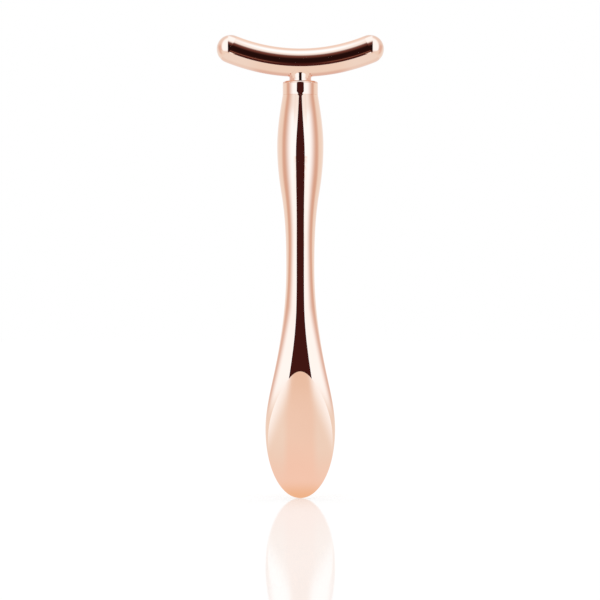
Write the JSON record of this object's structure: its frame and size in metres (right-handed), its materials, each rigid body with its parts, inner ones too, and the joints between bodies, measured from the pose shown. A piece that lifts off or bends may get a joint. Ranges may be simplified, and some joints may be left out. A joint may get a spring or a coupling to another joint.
{
  "type": "heated eye massager wand",
  "caption": "Slim metal wand with a curved heated massage bar on a short neck, a waisted round handle with a button on its back, and a flat-faced scoop at its foot.",
  "frame": {"origin": "on the handle's axis, in the middle of the hand grip, where it is widest", "axes": "+Z along the wand towards the massage bar, +Y out of the back, where the button is, +X to the right seen from the front"},
  "size_m": [0.0542, 0.015, 0.1501],
  "materials": {
    "rose_gold": "polished",
    "steel": "satin",
    "pin_gold": "polished",
    "copper": "satin",
    "black_plastic": "matte",
    "white_plastic": "satin",
    "clear_plastic": "gloss",
    "black_rubber": "matte",
    "lead_sleeve": "satin",
    "heater_film": "satin",
    "battery_wrap": "gloss",
    "board_green": "satin",
    "chip_ceramic": "satin"
  },
  "bodies": {
    "wand": {"bar_tube": "rose_gold", "bar_end_caps": "rose_gold", "heater_strip": "heater_film", "thermistor": "black_plastic", "heater_leads": "lead_sleeve", "neck_stem": "rose_gold", "neck_bush": "white_plastic", "neck_seal": "black_rubber", "collar_ring": "rose_gold", "front_shell": "rose_gold", "rear_shell": "rose_gold", "dowel_pins": "steel", "core_frame": "black_plastic", "battery_cell": "battery_wrap", "battery_tabs": "steel", "battery_leads": "lead_sleeve", "motor_can": "steel", "motor_end_cap": "black_plastic", "motor_sleeve": "black_rubber", "motor_leads": "lead_sleeve", "main_board": "board_green", "board_screws": "steel", "controller_chip": "black_plastic", "charger_chip": "black_plastic", "small_parts": "chip_ceramic", "switch_base": "black_plastic", "status_led": "white_plastic", "led_window": "clear_plastic", "charge_pins": "pin_gold", "pin_insulators": "black_plastic"},
    "button": {"power_button": "rose_gold"},
    "plunger": {"switch_plunger": "white_plastic"},
    "rotor": {"motor_shaft": "steel", "motor_armature": "copper", "eccentric_weight": "steel"}
  },
  "joints": [
    {"name": "button_press", "type": "slide", "parent": "wand", "child": "button", "axis": [0, -1, 0], "range_m": [0, 0.00025], "stiffness_N_per_m": 800, "springref_m": -0.001},
    {"name": "plunger_press", "type": "slide", "parent": "wand", "child": "plunger", "axis": [0, -1, 0], "range_m": [0, 0.00025]},
    {"name": "rotor_spin", "type": "hinge", "parent": "wand", "child": "rotor", "pos_m": [0, 0, 0.006], "axis": [0, 0, 1], "continuous": true}
  ],
  "couplings": [
    {"joint": "plunger_press", "follows": "button_press", "ratio": 1}
  ]
}
